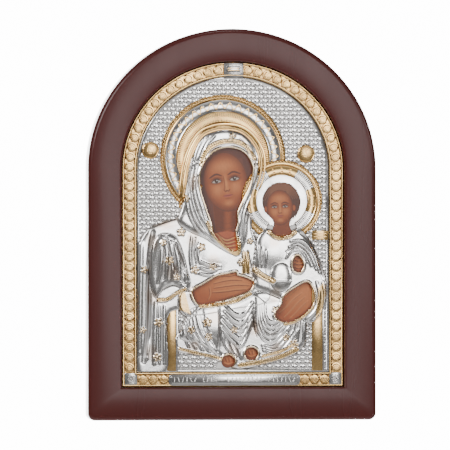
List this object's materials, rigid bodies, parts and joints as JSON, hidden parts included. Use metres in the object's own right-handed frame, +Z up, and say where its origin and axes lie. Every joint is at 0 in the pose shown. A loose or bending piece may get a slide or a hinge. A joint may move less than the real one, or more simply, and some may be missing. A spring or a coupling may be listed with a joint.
{
  "type": "icon panel",
  "caption": "Arched wall icon panel: a lacquered wooden frame round a painted board under an embossed, partly gilt silver cover with openings for faces and hands.",
  "frame": {"origin": "on the wall, at the middle of the back face of the hanger's bar", "axes": "+Y into the wall, so the front faces -Y; +Z up, along the panel's height; +X to the viewer's right"},
  "size_m": [0.1924, 0.02, 0.26],
  "materials": {
    "lacquered_wood": "gloss",
    "gilt_silver": "satin",
    "painted_board": "satin",
    "fibreboard": "matte",
    "zinc_plated_steel": "satin",
    "brass": "satin"
  },
  "bodies": {
    "root": {"wood_frame": "lacquered_wood", "silver_cover": "gilt_silver", "painted_panel": "painted_board", "back_board": "fibreboard", "hanger": "zinc_plated_steel", "hanger_nail_left": "brass", "hanger_nail_right": "brass"}
  },
  "joints": []
}
